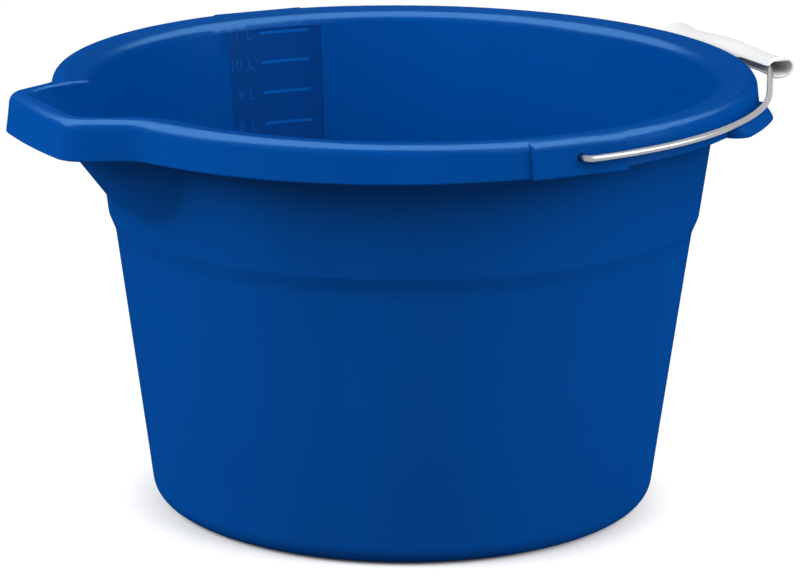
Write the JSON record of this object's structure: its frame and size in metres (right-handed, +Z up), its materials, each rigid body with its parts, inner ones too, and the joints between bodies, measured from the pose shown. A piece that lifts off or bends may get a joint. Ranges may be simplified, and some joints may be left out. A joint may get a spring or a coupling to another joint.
{
  "type": "bucket",
  "caption": "Round tapered plastic bucket with a pouring spout, a litre scale on the inner wall, and a swinging wire bail with a moulded grip.",
  "frame": {"origin": "middle of the flat base, on the tub's axis", "axes": "+Z up along the tub's axis, -X toward the pouring spout, Y along the line through the bail's two pivots"},
  "size_m": [0.3828, 0.35, 0.2093],
  "materials": {
    "tub_plastic": "satin moulded blue plastic",
    "bail_steel": "bright drawn wire",
    "grip_plastic": "white moulded plastic"
  },
  "bodies": {
    "tub": {"bucket": "tub_plastic"},
    "bail": {"bail_wire": "bail_steel", "bail_grip": "grip_plastic"}
  },
  "joints": [
    {"name": "bail_swing", "type": "hinge", "parent": "tub", "child": "bail", "pos_m": [0, 0, 0.2012], "axis": [0, -1, 0], "range_deg": [0, 173]}
  ]
}
